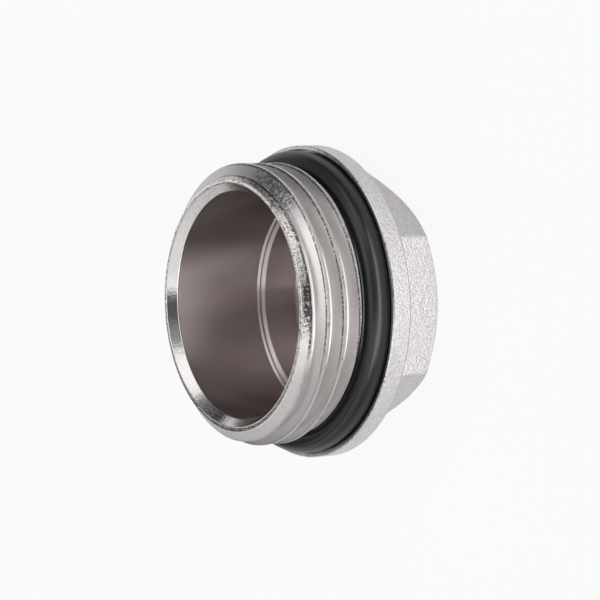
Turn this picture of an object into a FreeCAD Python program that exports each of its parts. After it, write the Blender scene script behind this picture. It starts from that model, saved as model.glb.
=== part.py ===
"""Manifold blanking plug: a hollow one-inch pipe-thread plug with a hexagon head and a rubber ring.

The plug stands on its head. The origin is at the bottom centre of the head, and +Z runs along
the thread axis to the open mouth. All lengths are millimetres.
"""
import FreeCAD, Part
import math
import os
import Sketcher

V = FreeCAD.Vector

# Each driving size: its name, its value and what it measures.
SIZES = [
    ("head_flats", 28.0, "hexagon across flats"),
    ("head_height", 7.4, "end face of the head to the back of the collar"),
    ("head_corner_round", 0.7, "radius on the six upright corners"),
    ("head_face_margin", 0.25, "flats to the edge of the round end face"),
    ("head_chamfer_angle", 37.0, "slope of the turned chamfer, degrees from the end face"),
    ("head_wall", 1.29, "flats to the narrow bore, at the thinnest"),
    ("end_wall", 1.5, "thickness of the closed end"),
    ("floor_bevel", 0.7, "bevel at the foot of the narrow bore"),
    ("step_length", 0.73, "height of the step between the bores"),
    ("step_outer_length", 0.2, "height of the step's outer chamfer"),
    ("step_outer_share", 0.36, "width of that chamfer as a share of the whole step"),
    ("step_land_length", 0.24, "height of the steep land between the step's two chamfers"),
    ("step_land_share", 0.08, "width of that land as a share of the whole step"),
    ("collar_thickness", 2.56, "back of the collar to its front rim"),
    ("collar_rim_width", 0.47, "front rim outside the seat of the ring"),
    ("collar_front_bevel", 0.12, "bevel on the front edge of the collar"),
    ("collar_back_bevel", 0.2, "bevel on the back edge of the collar"),
    ("thread_radius", 16.6245, "crest radius of the one-inch parallel pipe thread"),
    ("thread_pitch", 2.309, "eleven threads to the inch"),
    ("thread_length", 6.95, "mouth rim to the end of the last crest"),
    ("thread_phase", 0.563, "last crest edge to the groove behind it on the +X side, in pitches"),
    ("lead_chamfer_depth", 1.8445, "crest to the outer edge of the mouth rim"),
    ("lead_chamfer_length", 1.65, "length of the cone that leads the thread in"),
    ("rim_width", 0.48, "flat rim round the mouth"),
    ("mouth_chamfer_length", 1.02, "depth of the chamfer inside the mouth"),
    ("ring_groove_depth", 1.87, "crest to the bottom of the ring groove"),
    ("body_wall", 1.33, "bottom of the ring groove to the wide bore"),
    ("ring_section", 3.2, "thickness of the rubber ring"),
    ("ring_clearance", 0.05, "gap between the ring and the metal inside and behind it"),
    ("ring_front_gap", 0.7, "ring to the end of the thread"),
    ("seat_depth", 0.86, "how far the seat of the ring is cut into the collar"),
    ("seat_side_gap", 0.12, "gap outside the ring in its seat"),
]

# Heights, measured up from the end face of the head.
COLLAR_FRONT = "(sizes.head_height + sizes.collar_thickness)"
SEAT_FLOOR = "(" + COLLAR_FRONT + " - sizes.seat_depth)"
LAND_TOP = "(sizes.head_height - sizes.step_outer_length)"
RING_FRONT = "(" + SEAT_FLOOR + " + sizes.ring_clearance + sizes.ring_section)"
THREAD_END = "(" + RING_FRONT + " + sizes.ring_front_gap)"
MOUTH = "(" + THREAD_END + " + sizes.thread_length)"

# Radii, measured out from the axis.
GROOVE_RADIUS = "(sizes.thread_radius - sizes.ring_groove_depth)"
RING_INNER = "(" + GROOVE_RADIUS + " + sizes.ring_clearance)"
SEAT_RADIUS = "(" + RING_INNER + " + sizes.ring_section + sizes.seat_side_gap)"
COLLAR_RADIUS = "(" + SEAT_RADIUS + " + sizes.collar_rim_width)"
BORE_RADIUS = "(" + GROOVE_RADIUS + " - sizes.body_wall)"
INNER_BORE_RADIUS = "(sizes.head_flats / 2 - sizes.head_wall)"
STEP_WIDTH = "(" + BORE_RADIUS + " - " + INNER_BORE_RADIUS + ")"
LAND_OUTER = "(" + BORE_RADIUS + " - " + STEP_WIDTH + " * sizes.step_outer_share)"
LAND_INNER = "(" + LAND_OUTER + " - " + STEP_WIDTH + " * sizes.step_land_share)"
RIM_OUTER = "(sizes.thread_radius - sizes.lead_chamfer_depth)"
RIM_INNER = "(" + RIM_OUTER + " - sizes.rim_width)"
FACE_RADIUS = "(sizes.head_flats / 2 - sizes.head_face_margin)"
CORNER_RADIUS = "(sizes.head_flats / sqrt(3))"

# The pipe thread's form, in pitches: depth, flats at root and crest, and the flank's slope.
THREAD_DEPTH = "(sizes.thread_pitch * 0.640327)"
HALF_ROOT_FLAT = "(sizes.thread_pitch / 12)"
CUTTER_OVERRUN = "(sizes.thread_pitch * 0.1)"
FLANK_SLOPE = "tan(27.5 deg)"

# How far a cutting outline runs past the metal, in millimetres.
OVERRUN = 1.0


def make_sheet(doc):
    """Put each driving size in a cell of its own, with its name and meaning beside it."""
    sheet = doc.addObject("Spreadsheet::Sheet", "sizes")
    for row, (alias, value, meaning) in enumerate(SIZES, start=1):
        sheet.set("A%d" % row, alias)
        sheet.set("B%d" % row, str(value))
        sheet.set("C%d" % row, meaning)
        sheet.setAlias("B%d" % row, alias)
    doc.recompute()
    return sheet


def new_body(doc, name):
    """A body whose label names its file."""
    body = doc.addObject("PartDesign::Body", name)
    body.Label = name
    body.Placement = FreeCAD.Placement()
    return body


def new_sketch(body, role, name):
    """An empty sketch on the body's own origin plane that has this role."""
    sketch = body.newObject("Sketcher::SketchObject", name)
    planes = [feature for feature in body.Origin.OriginFeatures if feature.Role == role]
    sketch.AttachmentSupport = (planes[0], [""])
    sketch.MapMode = "FlatFace"
    return sketch


def bind(sketch, number, name, expression):
    """Name a constraint and tie its value to the sheet."""
    sketch.renameConstraint(number, name)
    sketch.setExpression("Constraints." + name, expression)


def evaluate(sheet, expression):
    """The present value of an expression, as a plain number."""
    value = sheet.evalExpression(expression)
    return float(getattr(value, "Value", value))


def outline(body, sheet, name, corners, role="XZ_Plane"):
    """A closed outline of straight lines.

    Each corner is (label, first coordinate, second coordinate), both as expressions. On the XZ
    plane they are the radius and the height, and the outline is turned about the axis.
    """
    sketch = new_sketch(body, role, name)
    places = [V(evaluate(sheet, across), evaluate(sheet, up), 0) for _, across, up in corners]
    count = len(corners)
    for index in range(count):
        sketch.addGeometry(Part.LineSegment(places[index], places[(index + 1) % count]), False)
    for index in range(count):
        following = (index + 1) % count
        sketch.addConstraint(Sketcher.Constraint("Coincident", index, 2, following, 1))
    for index, (label, across, up) in enumerate(corners):
        for kind, tag, expression, size in (
            ("DistanceX", "_across", across, places[index].x),
            ("DistanceY", "_up", up, places[index].y),
        ):
            number = sketch.addConstraint(Sketcher.Constraint(kind, -1, 1, index, 1, size))
            bind(sketch, number, label + tag, expression)
    return sketch


def turn(body, kind, sketch, name):
    """Turn an outline all the way round the vertical axis, to add metal or to cut it."""
    feature = body.newObject("PartDesign::" + kind, name)
    feature.Profile = sketch
    feature.ReferenceAxis = (sketch, ["V_Axis"])
    feature.Angle = 360.0
    return feature


def round_edges(body, base, name, wanted, radius):
    """Round the edges of the last feature that the test picks out."""
    picked = []
    for number, edge in enumerate(base.Shape.Edges, start=1):
        if wanted(edge):
            picked.append("Edge%d" % number)
    feature = body.newObject("PartDesign::Fillet", name)
    feature.Base = (base, picked)
    feature.setExpression("Radius", radius)
    return feature


def is_upright(edge):
    """True for a straight edge that runs along the axis."""
    ends = edge.Vertexes
    return len(ends) == 2 and ends[0].Point.sub(ends[1].Point).cross(V(0, 0, 1)).Length < 1e-6


def make_head(doc, body, sheet):
    """The hexagon, with flats facing +X and -X and its upright corners rounded."""
    corners = []
    for index in range(6):
        angle = "%d deg" % (30 + 60 * index)
        across = CORNER_RADIUS + " * cos(" + angle + ")"
        up = CORNER_RADIUS + " * sin(" + angle + ")"
        corners.append(("corner%d" % index, across, up))
    hexagon = outline(body, sheet, "hexagon", corners, "XY_Plane")
    head = body.newObject("PartDesign::Pad", "head")
    head.Profile = hexagon
    head.setExpression("Length", "sizes.head_height")
    doc.recompute()
    return round_edges(body, head, "head_corners", is_upright, "sizes.head_corner_round")


def make_turned_outside(body, sheet):
    """Collar, seat and groove of the ring, thread blank and lead-in cone, in one outline."""
    collar_edge = COLLAR_RADIUS + " - sizes.collar_back_bevel"
    collar_front_edge = COLLAR_RADIUS + " - sizes.collar_front_bevel"
    corners = [
        ("axis_low", "0", "sizes.head_height"),
        ("collar_back", collar_edge, "sizes.head_height"),
        ("collar_side_back", COLLAR_RADIUS, "sizes.head_height + sizes.collar_back_bevel"),
        ("collar_side_front", COLLAR_RADIUS, COLLAR_FRONT + " - sizes.collar_front_bevel"),
        ("collar_rim_outer", collar_front_edge, COLLAR_FRONT),
        ("collar_rim_inner", SEAT_RADIUS, COLLAR_FRONT),
        ("seat_outer", SEAT_RADIUS, SEAT_FLOOR),
        ("seat_inner", GROOVE_RADIUS, SEAT_FLOOR),
        ("groove_front", GROOVE_RADIUS, THREAD_END),
        ("crest_end", "sizes.thread_radius", THREAD_END),
        ("crest_start", "sizes.thread_radius", MOUTH + " - sizes.lead_chamfer_length"),
        ("rim_outer", RIM_OUTER, MOUTH),
        ("axis_high", "0", MOUTH),
    ]
    return turn(body, "Revolution", outline(body, sheet, "outside", corners), "turned_outside")


def make_head_chamfer(body, sheet):
    """The cone that trims the corners at the end face and leaves an arc on each flat."""
    reach = CORNER_RADIUS + " + %g" % OVERRUN
    rise = "(" + reach + " - " + FACE_RADIUS + ") * tan(sizes.head_chamfer_angle * 1 deg)"
    corners = [
        ("face_edge", FACE_RADIUS, "0"),
        ("outside_high", reach, rise),
        ("outside_low", reach, "-%g" % OVERRUN),
        ("face_low", FACE_RADIUS, "-%g" % OVERRUN),
    ]
    return turn(body, "Groove", outline(body, sheet, "chamfer", corners), "head_chamfer")


def make_bores(body, sheet):
    """The blind hollow: narrow bore in the head, stepped ledge, wide bore and mouth chamfer."""
    corners = [
        ("floor_centre", "0", "sizes.end_wall"),
        ("floor_edge", INNER_BORE_RADIUS + " - sizes.floor_bevel", "sizes.end_wall"),
        ("floor_foot", INNER_BORE_RADIUS, "sizes.end_wall + sizes.floor_bevel"),
        ("step_low", INNER_BORE_RADIUS, "sizes.head_height - sizes.step_length"),
        ("land_low", LAND_INNER, LAND_TOP + " - sizes.step_land_length"),
        ("land_high", LAND_OUTER, LAND_TOP),
        ("step_high", BORE_RADIUS, "sizes.head_height"),
        ("chamfer_foot", BORE_RADIUS, MOUTH + " - sizes.mouth_chamfer_length"),
        ("rim_inner", RIM_INNER, MOUTH),
        ("over_rim", RIM_INNER, MOUTH + " + %g" % OVERRUN),
        ("over_centre", "0", MOUTH + " + %g" % OVERRUN),
    ]
    return turn(body, "Groove", outline(body, sheet, "hollow", corners), "bores")


def make_thread(body, sheet):
    """One right-hand helical groove, cut from the ring groove out past the mouth.

    The cutter has the pipe thread's 55 degree flanks and a flat of a twelfth of a pitch to each
    side of its tip. It starts in the open ring groove, so the last crest ends in a clean edge.
    """
    root = "sizes.thread_radius - " + THREAD_DEPTH
    top = "sizes.thread_radius + " + CUTTER_OVERRUN
    widening = "(" + THREAD_DEPTH + " + " + CUTTER_OVERRUN + ") * " + FLANK_SLOPE
    half_top = "(" + HALF_ROOT_FLAT + " + " + widening + ")"
    start = "(" + THREAD_END + " - sizes.thread_phase * sizes.thread_pitch)"
    corners = [
        ("tip_low", root, start + " - " + HALF_ROOT_FLAT),
        ("top_low", top, start + " - " + half_top),
        ("top_high", top, start + " + " + half_top),
        ("tip_high", root, start + " + " + HALF_ROOT_FLAT),
    ]
    cutter = outline(body, sheet, "thread_cutter", corners)
    thread = body.newObject("PartDesign::SubtractiveHelix", "thread")
    thread.Profile = cutter
    thread.ReferenceAxis = (cutter, ["V_Axis"])
    thread.Mode = "pitch-height-angle"
    thread.LeftHanded = False
    thread.Reversed = False
    thread.setExpression("Pitch", "sizes.thread_pitch")
    travel = "sizes.thread_length + (sizes.thread_phase + 0.5) * sizes.thread_pitch"
    thread.setExpression("Height", travel)
    return thread


def make_plug_body(doc, sheet):
    """The plug itself, one hollow piece of metal."""
    body = new_body(doc, "plug_body")
    make_head(doc, body, sheet)
    make_turned_outside(body, sheet)
    make_head_chamfer(body, sheet)
    make_bores(body, sheet)
    make_thread(body, sheet)
    return body


def make_ring(doc, sheet):
    """The rubber ring, round in section, lying in its groove against the seat in the collar."""
    body = new_body(doc, "o_ring")
    sketch = new_sketch(body, "XZ_Plane", "ring_circle")
    centre = RING_INNER + " + sizes.ring_section / 2"
    height = SEAT_FLOOR + " + sizes.ring_clearance + sizes.ring_section / 2"
    place = V(evaluate(sheet, centre), evaluate(sheet, height), 0)
    radius = evaluate(sheet, "sizes.ring_section / 2")
    sketch.addGeometry(Part.Circle(place, V(0, 0, 1), radius), False)
    for kind, name, expression, size in (
        ("DistanceX", "centre_across", centre, place.x),
        ("DistanceY", "centre_up", height, place.y),
    ):
        number = sketch.addConstraint(Sketcher.Constraint(kind, -1, 1, 0, 3, size))
        bind(sketch, number, name, expression)
    number = sketch.addConstraint(Sketcher.Constraint("Radius", 0, radius))
    bind(sketch, number, "section_radius", "sizes.ring_section / 2")
    turn(body, "Revolution", sketch, "ring")
    return body


def check(doc, bodies):
    """Stop if any object failed or any piece is not one valid solid."""
    for thing in doc.Objects:
        if "Invalid" in thing.State or "Error" in thing.State:
            raise RuntimeError(thing.Name + " failed: " + ", ".join(thing.State))
    for body in bodies:
        shape = body.Shape
        if shape.isNull() or not shape.isValid() or len(shape.Solids) != 1:
            raise RuntimeError(body.Label + " is not one valid solid")


def main():
    os.makedirs("parts", exist_ok=True)
    doc = FreeCAD.newDocument("blanking_plug")
    sheet = make_sheet(doc)
    bodies = [make_plug_body(doc, sheet), make_ring(doc, sheet)]
    doc.recompute()
    check(doc, bodies)
    for body in bodies:
        body.Shape.exportStep("parts/" + body.Label + ".step")
        print(body.Label, "volume %.1f mm3" % body.Shape.Volume)


main()
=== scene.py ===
# Manifold blanking plug: fine surfaces and finishes for its nickel-plated body and rubber ring.
import math

import bmesh
import bpy
import numpy as np
from mathutils import Matrix, Vector


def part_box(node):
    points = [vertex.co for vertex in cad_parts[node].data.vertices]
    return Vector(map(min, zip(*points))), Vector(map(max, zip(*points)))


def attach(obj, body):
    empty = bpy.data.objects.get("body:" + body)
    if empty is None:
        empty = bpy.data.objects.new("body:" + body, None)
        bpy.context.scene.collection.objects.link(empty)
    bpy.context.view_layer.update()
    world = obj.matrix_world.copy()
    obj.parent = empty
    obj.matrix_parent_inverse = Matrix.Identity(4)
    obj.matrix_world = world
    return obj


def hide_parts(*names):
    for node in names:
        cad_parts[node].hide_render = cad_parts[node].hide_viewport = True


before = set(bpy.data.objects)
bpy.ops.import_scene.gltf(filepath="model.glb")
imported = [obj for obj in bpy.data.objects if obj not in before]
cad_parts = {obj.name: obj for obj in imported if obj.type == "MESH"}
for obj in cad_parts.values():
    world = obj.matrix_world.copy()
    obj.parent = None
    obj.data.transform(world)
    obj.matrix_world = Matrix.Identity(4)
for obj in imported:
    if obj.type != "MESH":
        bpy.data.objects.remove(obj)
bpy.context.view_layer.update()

# Sizes in millimetres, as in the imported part. Heights are measured up from the head's end face.
MM = 0.001
MM_A_METRE = 1000
BODY_HIGH = np.array(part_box("plug_body")[1]) / MM
RING_LOW, RING_HIGH = (np.array(corner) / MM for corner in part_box("o_ring"))
MOUTH = BODY_HIGH[2]
COLLAR_RADIUS = BODY_HIGH[0]
HEAD_FLATS = 28.0
HEAD_HEIGHT = 7.4
HEAD_CORNER_ROUND = 0.7
HEAD_FACE_RADIUS = 13.75
HEAD_CHAMFER_SLOPE = math.tan(math.radians(37.0))
COLLAR_THICKNESS = 2.56
COLLAR_FRONT = HEAD_HEIGHT + COLLAR_THICKNESS
COLLAR_FRONT_BEVEL = 0.12
COLLAR_BACK_BEVEL = 0.2
SEAT_DEPTH = 0.86
SEAT_STEP = 0.47
SEAT_FLOOR = COLLAR_FRONT - SEAT_DEPTH
SEAT_RADIUS = COLLAR_RADIUS - SEAT_STEP
THREAD_RADIUS = 16.6245
THREAD_PITCH = 2.309
THREAD_LENGTH = 6.95
THREAD_END = MOUTH - THREAD_LENGTH
# Where the thread starts, in turns.
THREAD_PHASE = 0.563
# The Whitworth form: 55 degrees, its depth over its pitch, and half the flat at its root.
WHITWORTH_DEPTH = 0.640327
THREAD_DEPTH = THREAD_PITCH * WHITWORTH_DEPTH
THREAD_FLANK = math.tan(math.radians(27.5))
HALF_ROOT_FLAT = THREAD_PITCH / 12
ROOT_EASE = 0.10
CREST_EASE = 0.05
RELIEF_DEPTH = 1.87
GROOVE_RADIUS = THREAD_RADIUS - RELIEF_DEPTH
LEAD_DEPTH = 1.8445
LEAD_LENGTH = 1.65
LEAD_EASE = 0.04
RIM_WIDTH = 0.48
RIM_OUTER = THREAD_RADIUS - LEAD_DEPTH
RIM_INNER = RIM_OUTER - RIM_WIDTH
LEAD_SLOPE = (THREAD_RADIUS - RIM_OUTER) / LEAD_LENGTH
MOUTH_CHAMFER = 1.02
GROOVE_WALL = 1.33
HEAD_WALL = 1.29
BORE_RADIUS = GROOVE_RADIUS - GROOVE_WALL
INNER_BORE_RADIUS = HEAD_FLATS / 2 - HEAD_WALL
STEP_LENGTH = 0.73
STEP_WIDTH = BORE_RADIUS - INNER_BORE_RADIUS
# The steep ring in the middle of the bore's step: its drop, height, and shares of the width.
LAND_DROP = 0.2
LAND_HEIGHT = 0.24
LAND_START = 0.36
LAND_SHARE = 0.08
LAND_TOP = HEAD_HEIGHT - LAND_DROP
LAND_LOW = LAND_TOP - LAND_HEIGHT
LAND_OUTER = BORE_RADIUS - LAND_START * STEP_WIDTH
LAND_INNER = LAND_OUTER - LAND_SHARE * STEP_WIDTH
END_WALL = 1.5
FLOOR_BEVEL = 0.7

# The hexagon's corners: the angle between two, where one's centre lies, and half the angle
# that one takes up, seen from the axis.
SECTOR = math.radians(60)
CORNER_CENTRE = (HEAD_FLATS / 2 - HEAD_CORNER_ROUND) / math.cos(SECTOR / 2)
CORNER_REACH = SECTOR / 2 - math.atan2(CORNER_CENTRE * math.sin(SECTOR / 2), HEAD_FLATS / 2)

# Where the bands of the mesh meet: the thread's below the mouth, and the mouth's below the
# chamfer inside it.
THREAD_BAND_DROP = 0.12
MOUTH_BAND_DROP = 0.15

# How finely the surfaces are divided.
ROUND_COLUMNS = 300
CORNER_COLUMNS = 7
CORNER_ROOM = 1.2
THREAD_ROWS_A_PITCH = 34
RING_COLUMNS = 288
RING_ROWS = 48
# An eased corner: its steps, how far out the rows beside it lie, over its reach, and the most
# that its reach takes of a side.
CORNER_STEPS = 4
GUARD_REACH = 1.5
SIDE_SHARE = 0.3
NO_LENGTH = 1e-9
# Points closer than this are one, and shorter edges are dropped, in metres.
POINT_ROOM = 2e-7
EDGE_ROOM = 1e-8
SHARP_ANGLE = math.radians(42)


def azimuths():
    """The angles of the mesh's columns: even all round, and close together at the six corners."""
    even = np.arange(ROUND_COLUMNS) * (2 * math.pi / ROUND_COLUMNS)
    corner = SECTOR / 2 + SECTOR * np.arange(6)
    fine = (corner[:, None] + CORNER_REACH * np.linspace(-1, 1, CORNER_COLUMNS)).ravel()
    off = np.abs((even - corner[0] + SECTOR / 2) % SECTOR - SECTOR / 2)
    return np.sort(np.concatenate([even[off > CORNER_ROOM * CORNER_REACH], fine]))


def hexagon_radius(angle):
    """Distance from the axis to the hexagon: flat / cos(angle off the flat), and a circle of the
    corner's radius about its own centre within a corner's reach."""
    off_flat = (angle + SECTOR / 2) % SECTOR - SECTOR / 2
    off_corner = SECTOR / 2 - np.abs(off_flat)
    flat = HEAD_FLATS / 2 / np.cos(off_flat)
    side = HEAD_CORNER_ROUND**2 - (CORNER_CENTRE * np.sin(off_corner)) ** 2
    corner = CORNER_CENTRE * np.cos(off_corner) + np.sqrt(np.maximum(side, 0))
    return np.where(off_corner < CORNER_REACH, corner, flat)


def rounded(corners, reaches):
    """A profile with its corners eased, for every column at once.

    corners is (point, column, (radius, height)). Each inner corner becomes a parabola, the point
    (1-t)^2 A + 2t(1-t) P + t^2 B, where A and B lie its reach along the two sides. One more row on
    each side, a little further out, keeps the flat next to it flat in shading.
    """
    rows = [corners[0]]
    for before, here, after, reach in zip(corners, corners[1:], corners[2:], reaches[1:]):
        sides = []
        for neighbour in (before, after):
            along = neighbour - here
            length = np.linalg.norm(along, axis=-1, keepdims=True)
            along = along / np.maximum(length, NO_LENGTH)
            sides.append((along, np.minimum(reach, SIDE_SHARE * length)))
        (back, near), (ahead, far) = sides
        rows.append(here + back * near * GUARD_REACH)
        for t in np.linspace(0, 1, CORNER_STEPS + 1):
            start = here + back * near
            end = here + ahead * far
            rows.append((1 - t) ** 2 * start + 2 * t * (1 - t) * here + t**2 * end)
        rows.append(here + ahead * far * GUARD_REACH)
    rows.append(corners[-1])
    return np.stack(rows)


def profile(points, angles):
    """Corners with their reaches, spread over the columns: each is (radius, height, reach), and
    a radius or height may differ from column to column."""
    corners = np.stack(
        [
            np.stack(np.broadcast_arrays(radius + 0 * angles, height + 0 * angles), axis=-1)
            for radius, height, _ in points
        ]
    )
    return rounded(corners, [reach for _, _, reach in points])


def thread_radius(height, angle):
    """Radius of the threaded outside: the V thread of one pitch a turn, cut by the lead-in cone.

    With q the distance along the axis from the nearest groove's middle, the radius is
    root + (q - half root flat) / tan(27.5 degrees), held between root and crest, each corner
    eased by a smooth minimum, and no more than the cone's radius at that height.
    """
    groove = THREAD_END - THREAD_PHASE * THREAD_PITCH + THREAD_PITCH * angle / (2 * math.pi)
    turn = (height - groove) / THREAD_PITCH
    q = np.abs(turn - np.round(turn)) * THREAD_PITCH
    root = THREAD_RADIUS - THREAD_DEPTH
    flank = root + (q - HALF_ROOT_FLAT) / THREAD_FLANK
    held = -smooth_least(-flank, -root, ROOT_EASE)
    thread = smooth_least(held, THREAD_RADIUS, CREST_EASE)
    cone = RIM_OUTER + (MOUTH - height) * LEAD_SLOPE
    return smooth_least(thread, cone, LEAD_EASE)


def smooth_least(a, b, width):
    """The lesser of a and b, with their meeting eased over the width: min(a, b) - h^2 width / 4,
    where h = 1 - |a - b| / width, and nothing is eased where that is below 0."""
    h = np.maximum(1 - np.abs(a - b) / width, 0)
    return np.minimum(a, b) - h * h * width / 4


def threaded_rows(angles, top, bottom):
    """Rows that follow the helix between two heights: row k is at top + rise of the helix - k
    steps, held between the heights. Row k of the last column meets the first column's row
    k - rows a pitch."""
    step = THREAD_PITCH / THREAD_ROWS_A_PITCH
    count = int(math.ceil((top - bottom) / step)) + THREAD_ROWS_A_PITCH + 1
    rise = THREAD_PITCH * angles / (2 * math.pi)
    height = np.clip(top + rise - step * np.arange(count)[:, None], bottom, top)
    return np.stack([thread_radius(height, angles), height], axis=-1)


def wrap(rows, angles):
    """Radius and height turned about the axis: (r cos a, r sin a, z), in metres."""
    r, z = rows[..., 0], rows[..., 1]
    return np.stack([r * np.cos(angles), r * np.sin(angles), z], axis=-1) * MM


def quads(rows, columns, first, shift):
    """Faces of a grid closed round the axis. The last column joins the first, shifted by a
    number of rows where the rows climb with the thread."""
    k, j = np.meshgrid(np.arange(rows - 1), np.arange(columns), indexing="ij")
    last = j == columns - 1
    next_j = (j + 1) % columns
    down = np.where(last, shift, 0)
    near = first + k * columns + j
    near_below = near + columns
    far = first + np.maximum(k - down, 0) * columns + next_j
    far_below = first + np.maximum(k + 1 - down, 0) * columns + next_j
    return np.stack([near, far, far_below, near_below], axis=-1).reshape(-1, 4)


def mesh_piece(name, bands):
    """One closed mesh from bands of rows: (points, shift, material), each band a grid round the
    axis that starts where the one before it ends."""
    points, faces, finishes, first = [], [], [], 0
    for grid, shift, finish in bands:
        rows, columns = grid.shape[:2]
        band = quads(rows, columns, first, shift)
        points.append(grid.reshape(-1, 3))
        faces.append(band)
        finishes.append(np.full(len(band), finish))
        first += rows * columns
    mesh = bpy.data.meshes.new(name)
    mesh.from_pydata(np.concatenate(points).tolist(), [], np.concatenate(faces).tolist())
    mesh.polygons.foreach_set("material_index", np.concatenate(finishes).astype(np.int32))
    piece = bpy.data.objects.new(name, mesh)
    bpy.context.scene.collection.objects.link(piece)
    close_seams(mesh)
    mesh.polygons.foreach_set("use_smooth", np.ones(len(mesh.polygons), bool))
    mesh.set_sharp_from_angle(angle=SHARP_ANGLE)
    return piece


def close_seams(mesh):
    """Joins the bands' shared points, and the poles and squeezed rows to single points."""
    work = bmesh.new()
    work.from_mesh(mesh)
    bmesh.ops.remove_doubles(work, verts=work.verts, dist=POINT_ROOM)
    bmesh.ops.dissolve_degenerate(work, edges=work.edges, dist=EDGE_ROOM)
    work.to_mesh(mesh)
    work.free()


# Finishes of the metal, in the order of the plug's material slots.
BORED, MOUTH_SKIN, THREADED, FORGED = range(4)


def plug_bands():
    """The plug's whole skin, from the middle of its floor, up the hollow, over the rim, down the
    outside and in across the head's end face, as bands of rows."""
    angles = azimuths()
    cone_top = MOUTH - THREAD_BAND_DROP
    cone_top_radius = RIM_OUTER + THREAD_BAND_DROP * LEAD_SLOPE
    chamfer_foot = MOUTH - MOUTH_CHAMFER
    bore_top = chamfer_foot - MOUTH_BAND_DROP
    hollow = profile(
        [
            (0, END_WALL, 0),
            (INNER_BORE_RADIUS - FLOOR_BEVEL, END_WALL, 0.2),
            (INNER_BORE_RADIUS, END_WALL + FLOOR_BEVEL, 0.2),
            (INNER_BORE_RADIUS, HEAD_HEIGHT - STEP_LENGTH, 0.07),
            (LAND_INNER, LAND_LOW, 0.05),
            (LAND_OUTER, LAND_TOP, 0.05),
            (BORE_RADIUS, HEAD_HEIGHT, 0.06),
            (BORE_RADIUS, bore_top, 0),
        ],
        angles,
    )
    mouth = profile(
        [
            (BORE_RADIUS, bore_top, 0),
            (BORE_RADIUS, chamfer_foot, 0.05),
            (RIM_INNER, MOUTH, 0.07),
            (RIM_OUTER, MOUTH, 0.07),
            (cone_top_radius, cone_top, 0),
        ],
        angles,
    )
    thread = threaded_rows(angles, cone_top, THREAD_END)
    thread_foot = thread[-1, :, 0]
    relief = profile(
        [
            (thread_foot, THREAD_END, 0),
            (GROOVE_RADIUS, THREAD_END, 0.05),
            (GROOVE_RADIUS, SEAT_FLOOR, 0.05),
            (SEAT_RADIUS, SEAT_FLOOR, 0.05),
            (SEAT_RADIUS, COLLAR_FRONT, 0.04),
            (COLLAR_RADIUS - COLLAR_FRONT_BEVEL, COLLAR_FRONT, 0.03),
            (COLLAR_RADIUS, COLLAR_FRONT - COLLAR_FRONT_BEVEL, 0),
        ],
        angles,
    )
    hexagon = hexagon_radius(angles)
    chamfer_height = np.maximum(hexagon - HEAD_FACE_RADIUS, 0) * HEAD_CHAMFER_SLOPE
    head = profile(
        [
            (COLLAR_RADIUS, COLLAR_FRONT - COLLAR_FRONT_BEVEL, 0),
            (COLLAR_RADIUS, HEAD_HEIGHT + COLLAR_BACK_BEVEL, 0.1),
            (COLLAR_RADIUS - COLLAR_BACK_BEVEL, HEAD_HEIGHT, 0.08),
            (hexagon, HEAD_HEIGHT, 0.2),
            (hexagon, chamfer_height, 0.15),
            (HEAD_FACE_RADIUS, 0, 0.15),
            (0, 0, 0),
        ],
        angles,
    )
    bands = [
        (hollow, 0, BORED),
        (mouth, 0, MOUTH_SKIN),
        (thread, THREAD_ROWS_A_PITCH, THREADED),
        (relief, 0, THREADED),
        (head, 0, FORGED),
    ]
    return [(wrap(rows, angles), shift, finish) for rows, shift, finish in bands]


def ring_bands():
    """The rubber ring: (R + r cos t, r sin t) turned about the axis, r half its thickness."""
    around = np.arange(RING_COLUMNS) * (2 * math.pi / RING_COLUMNS)
    section = (RING_HIGH[2] - RING_LOW[2]) / 2
    centre_radius = RING_HIGH[0] - section
    centre_height = (RING_HIGH[2] + RING_LOW[2]) / 2
    t = np.linspace(0, -2 * math.pi, RING_ROWS + 1)[:, None] + 0 * around
    rows = np.stack(
        [centre_radius + section * np.cos(t), centre_height + section * np.sin(t)], axis=-1
    )
    return [(wrap(rows, around), 0, 0)]


class Value:
    """A number on its way through a node tree. Arithmetic on it adds Math nodes."""

    def __init__(self, graph, socket):
        self.graph = graph
        self.socket = socket

    def math(self, operation, *others):
        return self.graph.add("ShaderNodeMath", {"operation": operation}, self, *others)

    def __add__(self, other):
        return self.math("ADD", other)

    def __mul__(self, other):
        return self.math("MULTIPLY", other)

    def __sub__(self, other):
        return self.math("SUBTRACT", other)

    def __rsub__(self, other):
        return self.graph.add("ShaderNodeMath", {"operation": "SUBTRACT"}, other, self)

    def __truediv__(self, other):
        return self.math("DIVIDE", other)

    def __abs__(self):
        return self.math("ABSOLUTE")

    __radd__ = __add__

    def step(self, low, high):
        """0 below low and 1 above high, smoothly between."""
        settings = {"interpolation_type": "SMOOTHSTEP"}
        return self.graph.add("ShaderNodeMapRange", settings, self, low, high, 0.0, 1.0)

    def at_least(self, other):
        """The greater of the two."""
        return self.math("MAXIMUM", other)

    def split(self):
        """The three parts of a vector."""
        node = self.graph.tree.nodes.new("ShaderNodeSeparateXYZ")
        self.graph.tree.links.new(self.socket, node.inputs[0])
        return [Value(self.graph, socket) for socket in node.outputs]


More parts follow.
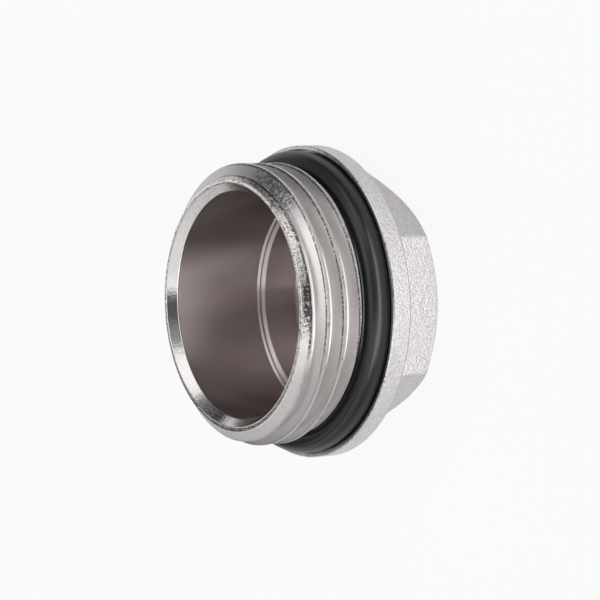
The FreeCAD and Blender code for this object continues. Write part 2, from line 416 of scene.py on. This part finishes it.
class Graph:
    """A node tree that is being filled."""

    def __init__(self, owner):
        owner.use_nodes = True
        self.tree = owner.node_tree
        self.tree.nodes.clear()

    def add(self, kind, settings=None, *inputs, out=0, **named):
        """A node of this kind: its settings first, then its sockets in order or by name."""
        node = self.tree.nodes.new(kind)
        for key, setting in (settings or {}).items():
            setattr(node, key, setting)
        sockets = list(zip(node.inputs, inputs))
        sockets += [(node.inputs[key.replace("_", " ")], given) for key, given in named.items()]
        for socket, given in sockets:
            if isinstance(given, Value):
                self.tree.links.new(given.socket, socket)
            else:
                socket.default_value = given
        return Value(self, node.outputs[out]) if node.outputs else None

    def mix(self, factor, first, second):
        """Colour from first to second as the factor goes from 0 to 1."""
        node = self.tree.nodes.new("ShaderNodeMix")
        node.data_type = "RGBA"
        for name, given in (("Factor_Float", factor), ("A_Color", first), ("B_Color", second)):
            socket = next(s for s in node.inputs if s.identifier == name)
            if isinstance(given, Value):
                self.tree.links.new(given.socket, socket)
            else:
                socket.default_value = (*given, 1)
        return Value(self, next(s for s in node.outputs if s.identifier == "Result_Color"))

    def dot(self, vector, direction):
        """How far a vector reaches along a direction."""
        settings = {"operation": "DOT_PRODUCT"}
        return self.add("ShaderNodeVectorMath", settings, vector, tuple(direction), out=1)

    def noise(self, place, scale, detail=2.0, roughness=0.5):
        """Noise from 0 to 1, with its features about 1 / scale metres across."""
        return self.add(
            "ShaderNodeTexNoise", None, Vector=place, Scale=scale, Detail=detail,
            Roughness=roughness,
        )

    def bump(self, relief, depth, strength=1.0):
        """The normal over a relief of this depth in metres."""
        return self.add(
            "ShaderNodeBump", None, Strength=strength, Distance=depth, Height=relief
        )

    def place(self):
        """Object coordinates, in metres."""
        return self.add("ShaderNodeTexCoord", out=3)

    def principled(self, **sockets):
        """The surface, from a Principled shader with these sockets."""
        shader = self.add("ShaderNodeBsdfPrincipled", None, **sockets)
        self.add("ShaderNodeOutputMaterial", None, shader)


def polar(graph):
    """Object coordinates, and the radius and height in millimetres."""
    place = graph.place()
    x, y, z = place.split()
    return place, (x * x + y * y).math("SQRT") * MM_A_METRE, z * MM_A_METRE


def turning_lines(graph, radius, height, spacing):
    """Fine grooves that a lathe tool leaves: noise on radius and height alone."""
    along = graph.add("ShaderNodeCombineXYZ", None, radius, height, 0.0)
    return graph.noise(along, 1 / spacing, 3.0, 0.7)


# Colours of the metal: plated, in a pit of the plating, in the hollow, and on the blasted skin.
NICKEL = (0.7, 0.672, 0.665)
PIT_NICKEL = (0.07, 0.065, 0.064)
BORE_NICKEL = (0.585, 0.525, 0.52)
# The duller patches of the hollow; the same colour also paints the shade line round the collar's
# back edge.
DULL_BORE_AND_EDGE_SHADE = (0.53, 0.475, 0.47)
SATIN_NICKEL = (0.92, 0.9, 0.895)
SATIN_PIT = (0.7, 0.682, 0.677)
RUBBER = (0.009, 0.01, 0.011)
WORN_RUBBER = (0.014, 0.015, 0.017)

# How many features of a noise there are in a metre.
PLATING_GRAIN = 5200.0
PLATING_LUMPS = PLATING_GRAIN * 0.35
PLATING_HOLES = PLATING_GRAIN * 0.62
PIT_FIELDS = 420.0
SIDE_BOUNDS = 300.0
SCAR_BLOTS = 2100.0
BORE_PATCHES = 150.0
FORGED_PIMPLES = 4200.0
FORGED_LUMPS = 1100.0
RUBBER_GRAIN = 3000.0

# How far apart the tool's lines lie, in millimetres.
BORE_LINES = 0.2
THREAD_LINES = 0.1

# How deep the relief of each skin is, in metres.
BORE_RELIEF = 0.000003
PLATING_RELIEF = 0.00005
FORGED_RELIEF = 0.0001
RUBBER_RELIEF = 0.00002

# A quarter turn of the anisotropy spreads the light along the axis, across the tool's lines.
LATHE_TURN = 0.25
BORE_SPREAD = 0.95
THREAD_SPREAD = 0.6

# Directions from the axis: where the plating is roughest, where the thread's first flank is
# scuffed, and where the lead-in cone is scarred.
ROUGH_SIDE = (0.79, 0.61, 0.0)
SCUFF_SIDE = (0.454, 0.891, 0.0)
SCAR_SIDE = (0.9973, 0.0732, 0.0)
# How far below the mouth the scuff ends, and how far out the scar starts, in millimetres.
SCUFF_END = 2.1
SCAR_START = 14.9
# The first groove leaves the cone at radius LIP_RADIUS - LIP_CLIMB a, where a is the azimuth in
# radians and the lengths are in millimetres.
LIP_RADIUS = 15.714
LIP_CLIMB = 0.258
# A soft bound that is a fifth of a millimetre wide.
SOFT = 0.2


def plated_skin(graph, place):
    """The grain of a rough plating, its relief, and its pits: 1 in a pit and 0 elsewhere. The
    pits are the low places of a noise, and gather where a coarser one is high."""
    grain = graph.noise(place, PLATING_GRAIN, 2.0, 0.6)
    lumps = graph.noise(place, PLATING_LUMPS, 2.0, 0.5)
    gathered = graph.noise(place, PIT_FIELDS, 2.0).step(0.35, 0.65)
    holes = graph.noise(place, PLATING_HOLES, 3.0, 0.65)
    pits = (1.0 - holes.step(0.41, 0.46)) * gathered
    return grain, grain + lumps * 1.2, pits


def toward(graph, place, radius, side):
    """Cosine of the angle round the axis from a side: dot(place, side) / radius."""
    return graph.dot(place, side) / radius * MM_A_METRE


def rough_side(graph, place, radius):
    """High towards the side where the plating is roughest and low away from it, with ragged
    bounds: cosine + 0.4 noise."""
    return toward(graph, place, radius, ROUGH_SIDE) + graph.noise(place, SIDE_BOUNDS) * 0.4


def bored_finish():
    """The hollow: turned, so that light spreads along the axis, with a few duller patches."""
    material = bpy.data.materials.new("bored_nickel")
    graph = Graph(material)
    place, radius, height = polar(graph)
    patches = graph.noise(place, BORE_PATCHES, 1.0)
    lines = turning_lines(graph, radius, height, BORE_LINES)
    graph.principled(
        Base_Color=graph.mix(patches.step(0.2, 0.8), DULL_BORE_AND_EDGE_SHADE, BORE_NICKEL),
        Metallic=1.0,
        Roughness=patches * 0.05 + 0.27,
        Anisotropic=BORE_SPREAD,
        Anisotropic_Rotation=LATHE_TURN,
        Normal=graph.bump(lines, BORE_RELIEF),
    )
    return material


def mouth_finish():
    """The rim and its chamfers: bright, with pits and specks where the plating lies rough."""
    material = bpy.data.materials.new("pitted_nickel")
    graph = Graph(material)
    place, radius, _ = polar(graph)
    _, relief, pits = plated_skin(graph, place)
    outside = radius.step(RIM_INNER - SOFT / 2, RIM_INNER + SOFT / 2)
    rough = rough_side(graph, place, radius).step(0.2, 0.9)
    relief = relief * (outside * 0.35 + 0.4) * (rough * 0.4 + 0.6)
    dark = pits * (outside * 0.5 + 0.25) * (rough * 0.8 + 0.2)
    graph.principled(
        Base_Color=graph.mix(dark, NICKEL, PIT_NICKEL),
        Metallic=1.0,
        Roughness=pits * 0.1 + 0.1,
        Normal=graph.bump(relief, PLATING_RELIEF),
    )
    return material


def groove_lip(graph, place, radius):
    """1 on the lead-in cone in the last quarter millimetre before the first groove, and 0
    beyond. It is fully there from 0.18 mm before the groove's edge to 0.03 mm before it."""
    x, y, _ = place.split()
    past_edge = radius + y.math("ARCTAN2", x) * LIP_CLIMB - LIP_RADIUS
    return past_edge.step(-0.3, -0.18) * (1.0 - past_edge.step(-0.03, 0.02))


def crest_burr(radius):
    """1 on the flanks just below the crest, from 0.2 mm to 0.1 mm under it."""
    below = radius.step(THREAD_RADIUS - 0.3, THREAD_RADIUS - 0.2)
    return below * (1.0 - radius.step(THREAD_RADIUS - 0.1, THREAD_RADIUS - 0.05))


def thread_finish():
    """The thread and the groove behind it: smooth turned flanks, dark burrs at the crests and at
    the first groove's lip, and rough plating where the lead-in cone was cut."""
    material = bpy.data.materials.new("turned_nickel")
    graph = Graph(material)
    place, radius, height = polar(graph)
    grain, relief, pits = plated_skin(graph, place)

    cone = radius + (height - MOUTH) * LEAD_SLOPE
    on_cone = cone.step(RIM_OUTER - 0.12, RIM_OUTER - 0.02)
    on_crest = radius.step(THREAD_RADIUS - 0.06, THREAD_RADIUS)
    on_collar = radius.step(COLLAR_RADIUS - SOFT, COLLAR_RADIUS - SOFT / 2)
    side = rough_side(graph, place, radius)
    scuff = toward(graph, place, radius, SCUFF_SIDE).step(0.94, 0.99)
    scuff = scuff * height.step(MOUTH - SCUFF_END, MOUTH - SCUFF_END + SOFT)
    scar = toward(graph, place, radius, SCAR_SIDE).step(0.984, 0.994)
    scar = scar * on_cone * radius.step(SCAR_START, SCAR_START + SOFT)

    rough = on_cone * (side.step(0.7, 1.0) * 0.85 + 0.15)
    rough = rough.at_least(on_crest * 0.6).at_least(on_collar).at_least(scuff * 0.9)
    lines = turning_lines(graph, radius, height, THREAD_LINES)
    relief = relief * (rough * 0.7 + 0.05) + lines * 0.1

    burr = crest_burr(radius) * (1.0 - grain.step(0.53, 0.59))
    burr = burr + groove_lip(graph, place, radius) * on_cone * (1.0 - grain.step(0.54, 0.6))
    burr = burr * (side.step(0.55, 0.9) * 0.8 + 0.2)
    blots = graph.noise(place, SCAR_BLOTS, 3.0, 0.7)
    marks = (pits * rough).at_least(burr)
    marks = marks.at_least(scuff * (1.0 - blots.step(0.45, 0.55)) * 0.6)
    marks = marks.at_least(scar * (1.0 - blots.step(0.5, 0.55)))
    graph.principled(
        Base_Color=graph.mix(marks * 0.95, NICKEL, PIT_NICKEL),
        Metallic=1.0,
        Roughness=0.32 - rough * 0.09,
        Anisotropic=THREAD_SPREAD,
        Anisotropic_Rotation=LATHE_TURN,
        Normal=graph.bump(relief, PLATING_RELIEF),
    )
    return material


def forged_finish():
    """Collar and head: satin, with the fine pimples of a blasted forging, and a painted shade line
    round the collar's back edge, a darker colour that stands for the shade on its bevel."""
    material = bpy.data.materials.new("forged_nickel")
    graph = Graph(material)
    place, radius, height = polar(graph)
    pimples = graph.noise(place, FORGED_PIMPLES, 1.0, 0.5)
    lumps = graph.noise(place, FORGED_LUMPS, 2.0, 0.5)
    # Painted shade: a darker band of colour round the collar's back edge, standing for the shade
    # on its bevel.
    off_shade_line = abs(height - HEAD_HEIGHT - 0.12).step(0.12, 0.2)
    painted_edge_shade = (1.0 - off_shade_line) * radius.step(COLLAR_RADIUS - 0.3, COLLAR_RADIUS - 0.2)
    color = graph.mix(pimples.step(0.2, 0.7), SATIN_PIT, SATIN_NICKEL)
    graph.principled(
        Base_Color=graph.mix(painted_edge_shade * 0.5, color, DULL_BORE_AND_EDGE_SHADE),
        Metallic=1.0,
        Roughness=pimples * 0.1 + 0.45,
        Normal=graph.bump(pimples + lumps * 0.8, FORGED_RELIEF),
    )
    return material


def rubber_finish():
    """Black rubber with a soft sheen."""
    material = bpy.data.materials.new("black_rubber")
    graph = Graph(material)
    grain = graph.noise(graph.place(), RUBBER_GRAIN, 3.0)
    graph.principled(
        Base_Color=graph.mix(grain, RUBBER, WORN_RUBBER),
        Roughness=grain * 0.1 + 0.25,
        Normal=graph.bump(grain, RUBBER_RELIEF, 0.4),
    )
    return material


# The camera stands as it did for the photograph: its place from the plug's axis, and its lens.
CAMERA_TURN = math.radians(3.2)
CAMERA_PLACE = Vector((252.4, 7.74, MOUTH + 162.2)) * MM
CAMERA_AXES = Matrix(
    ((0.5637, -0.0361, -0.8252), (0.0, 0.9991, -0.0437), (0.8260, 0.0247, 0.5632))
)
LENS_PIXELS = 2562.75
PICTURE_PIXELS = 600
SENSOR = 36.0
CLIP_NEAR, CLIP_FAR = 0.01, 10.0


def add_camera():
    """A long lens at the photograph's angle. Its axes are the rows right, up and back."""
    data = bpy.data.cameras.new("camera")
    data.sensor_width = SENSOR
    data.lens = SENSOR * LENS_PIXELS / PICTURE_PIXELS
    data.clip_start = CLIP_NEAR
    data.clip_end = CLIP_FAR
    camera = bpy.data.objects.new("camera", data)
    turn = Matrix.Rotation(CAMERA_TURN, 3, "Z")
    axes = turn @ CAMERA_AXES.transposed()
    camera.matrix_world = Matrix.Translation(turn @ CAMERA_PLACE) @ axes.to_4x4()
    bpy.context.scene.collection.objects.link(camera)
    bpy.context.scene.camera = camera
    return camera


def seen_from_camera(camera, turned, raised):
    """A direction from the plug, in degrees from the camera: turned to the picture's right, and
    raised to its top."""
    right, up, back = (camera.matrix_world.to_3x3().col[k] for k in range(3))
    turned, raised = math.radians(turned), math.radians(raised)
    level = back * math.cos(turned) + right * math.sin(turned)
    return (level * math.cos(raised) + up * math.sin(raised)).normalized()


# The share of plain white that the camera sees in the floor, and the share that the metal
# mirrors. The rest is paint that the studio lights, and keeps the shadow.
FLOOR_WHITE = 0.9
FLOOR_SHINE = 0.2
FLOOR_PAINT = (0.7, 0.7, 0.7, 1)
WHITE = (1, 1, 1, 1)
# From its middle to its edge, in metres.
FLOOR_REACH = 3.0


def add_floor():
    """A plain pale floor, which keeps a light shadow of the object."""
    mesh = bpy.data.meshes.new("floor")
    square = ((-1, -1), (1, -1), (1, 1), (-1, 1))
    corners = [(x * FLOOR_REACH, y * FLOOR_REACH, 0) for x, y in square]
    mesh.from_pydata(corners, [], [(0, 1, 2, 3)])
    floor = bpy.data.objects.new("floor", mesh)
    bpy.context.scene.collection.objects.link(floor)
    material = bpy.data.materials.new("pale_floor")
    graph = Graph(material)
    camera_ray = graph.add("ShaderNodeLightPath", out="Is Camera Ray")
    glossy_ray = graph.add("ShaderNodeLightPath", out="Is Glossy Ray")
    through_ray = graph.add("ShaderNodeLightPath", out="Is Transmission Ray")
    seen = camera_ray * FLOOR_WHITE + (glossy_ray + through_ray) * FLOOR_SHINE
    paint = graph.add("ShaderNodeBsdfDiffuse", None, FLOOR_PAINT)
    white = graph.add("ShaderNodeEmission", None, WHITE, 1.0)
    shader = graph.add("ShaderNodeMixShader", None, seen, paint, white)
    graph.add("ShaderNodeOutputMaterial", None, shader)
    mesh.materials.append(material)


# A panel fades out below this cosine off its middle.
LEAST_COSINE = 0.05


def patch(graph, direction, camera, turned, raised, wide, high, soft):
    """1 on a soft-edged rectangle of sky and 0 elsewhere. Across and above are tangents of the
    angles off its middle: dot(direction, side) / dot(direction, middle)."""
    middle = seen_from_camera(camera, turned, raised)
    side = seen_from_camera(camera, turned + 90, 0)
    top = middle.cross(side)
    ahead = graph.dot(direction, middle)
    across = abs(graph.dot(direction, side)) / ahead
    above = abs(graph.dot(direction, top)) / ahead
    half_wide, half_high = (math.tan(math.radians(angle / 2)) for angle in (wide, high))
    inside = 1 - across.step(half_wide * (1 - soft), half_wide * (1 + soft))
    inside = inside * (1 - above.step(half_high * (1 - soft), half_high * (1 + soft)))
    return inside * ahead.step(0.0, LEAST_COSINE)


# The studio's even light.
BASE_LIGHT = 0.32
# Its panels: turned and raised from the camera, and wide and high, all in degrees, then the
# softness of the edge as a share of half the panel, and the brightness. A later panel covers
# those before it.
STUDIO = [
    (-3, -27, 80, 49, 0.17, 1.89),
    (17, -40, 28, 24, 0.35, 6.50),
    (-74, -48, 123, 40, 0.49, 0.98),
    (-134, -15, 57, 32, 0.39, 0.00),
    (-93, -43, 61, 10, 0.21, 0.01),
    (-73, 10, 61, 44, 0.43, 1.56),
    (-52, 53, 66, 44, 0.33, 1.35),
    (-140, 18, 28, 63, 0.29, 0.75),
    (-99, 35, 37, 56, 0.15, 0.24),
    (-82, 39, 32, 30, 0.30, 0.18),
    (-15, -2, 50, 24, 0.38, 0.12),
    (-67, 78, 77, 31, 0.17, 0.00),
    (14, 56, 37, 34, 0.19, 0.00),
    (32, 2, 30, 90, 0.40, 5.00),
    (-131, 3, 32, 9, 0.40, 2.08),
    (32, -57, 32, 41, 0.41, 0.01),
]


def add_studio(camera):
    """The world: an even pale light, with the studio's bright and dark panels in it."""
    world = bpy.data.worlds.new("studio")
    bpy.context.scene.world = world
    graph = Graph(world)
    direction = graph.add("ShaderNodeTexCoord", out=0)
    light = BASE_LIGHT
    for turned, raised, wide, high, soft, level in STUDIO:
        inside = patch(graph, direction, camera, turned, raised, wide, high, soft)
        light = light + inside * (level - light)
    background = graph.add("ShaderNodeBackground", None, light, 1.0)
    graph.add("ShaderNodeOutputWorld", None, background)


def dress(piece, node, finishes):
    """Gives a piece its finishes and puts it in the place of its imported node."""
    for finish in finishes:
        piece.data.materials.append(finish)
    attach(piece, "root")
    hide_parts(node)


plug = mesh_piece("plug_metal", plug_bands())
dress(
    plug,
    "plug_body",
    [bored_finish(), mouth_finish(), thread_finish(), forged_finish()],
)
ring = mesh_piece("sealing_ring", ring_bands())
dress(ring, "o_ring", [rubber_finish()])

camera = add_camera()
add_floor()
add_studio(camera)
bpy.context.scene.view_settings.view_transform = "Standard"
